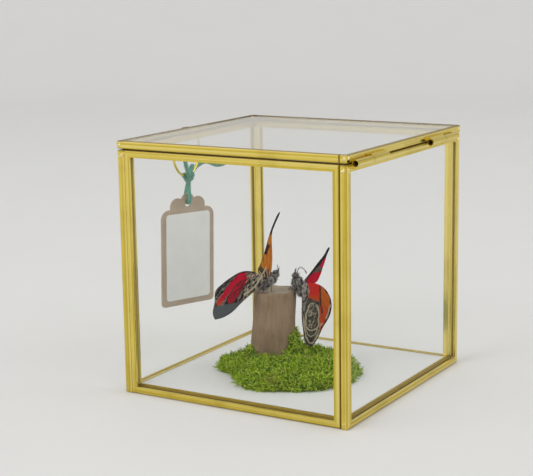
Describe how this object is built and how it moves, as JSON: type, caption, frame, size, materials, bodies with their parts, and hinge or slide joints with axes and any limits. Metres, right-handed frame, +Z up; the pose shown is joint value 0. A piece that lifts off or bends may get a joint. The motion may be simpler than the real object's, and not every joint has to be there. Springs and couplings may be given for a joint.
{
  "type": "glass card box",
  "caption": "Square glass card box in brass channel frames, with a hinged lid, a ring pull with a tied tag, a pale floor and butterflies on a mossy stump inside.",
  "frame": {"origin": "on the resting plane under the middle of the base", "axes": "+Z up; -Y is the front, with the ring pull and tag; +Y is the back, with the hinges; +X is the right-hand side seen from the front"},
  "size_m": [0.127, 0.1414, 0.128],
  "materials": {
    "clear_glass": "clear, polished",
    "white_panel": "satin white",
    "brass": "satin, soldered",
    "green_string": "twisted yarn",
    "kraft_card": "matt kraft card",
    "label_paper": "matt white paper",
    "bark": "rough bark",
    "moss": "tufted",
    "wing": "scaled, matt, patterned",
    "insect_fuzz": "fine hair"
  },
  "bodies": {
    "case": {"back_bottom_channel": "brass", "back_glass": "clear_glass", "back_left_channel": "brass", "back_right_channel": "brass", "back_top_channel": "brass", "base_back_channel": "brass", "base_front_channel": "brass", "base_left_channel": "brass", "base_panel": "white_panel", "base_right_channel": "brass", "front_bottom_channel": "brass", "front_glass": "clear_glass", "front_left_channel": "brass", "front_right_channel": "brass", "front_top_channel": "brass", "left_back_channel": "brass", "left_body_knuckle": "brass", "left_bottom_channel": "brass", "left_butterfly_body": "insect_fuzz", "left_butterfly_feelers": "insect_fuzz", "left_far_forewing": "wing", "left_far_hindwing": "wing", "left_front_channel": "brass", "left_glass": "clear_glass", "left_hinge_pin": "brass", "left_near_forewing": "wing", "left_near_hindwing": "wing", "left_top_channel": "brass", "moss_mound": "moss", "right_back_channel": "brass", "right_body_knuckle": "brass", "right_bottom_channel": "brass", "right_butterfly_body": "insect_fuzz", "right_butterfly_feelers": "insect_fuzz", "right_far_forewing": "wing", "right_far_hindwing": "wing", "right_front_channel": "brass", "right_glass": "clear_glass", "right_hinge_pin": "brass", "right_near_forewing": "wing", "right_near_hindwing": "wing", "right_top_channel": "brass", "stump": "bark"},
    "lid": {"left_lid_knuckle": "brass", "lid_back_channel": "brass", "lid_front_channel": "brass", "lid_glass": "clear_glass", "lid_left_channel": "brass", "lid_right_channel": "brass", "right_lid_knuckle": "brass", "ring_eye": "brass"},
    "ring": {"ring_pull": "brass", "string_knot": "green_string", "string_tails": "green_string"},
    "tag": {"tag_card": "kraft_card", "tag_label": "label_paper", "string_loop": "green_string"}
  },
  "joints": [
    {"name": "lid_hinge", "type": "hinge", "parent": "case", "child": "lid", "pos_m": [0, 0.0654, 0.1237], "axis": [-1, 0, 0], "range_deg": [0, 220]},
    {"name": "ring_swing", "type": "hinge", "parent": "lid", "child": "ring", "pos_m": [0, -0.066, 0.126], "axis": [-1, 0, 0], "range_deg": [0, 180]},
    {"name": "tag_swing", "type": "hinge", "parent": "ring", "child": "tag", "pos_m": [-0.0009, -0.066, 0.1012], "axis": [-1, 0, 0], "range_deg": [0, 90]}
  ]
}
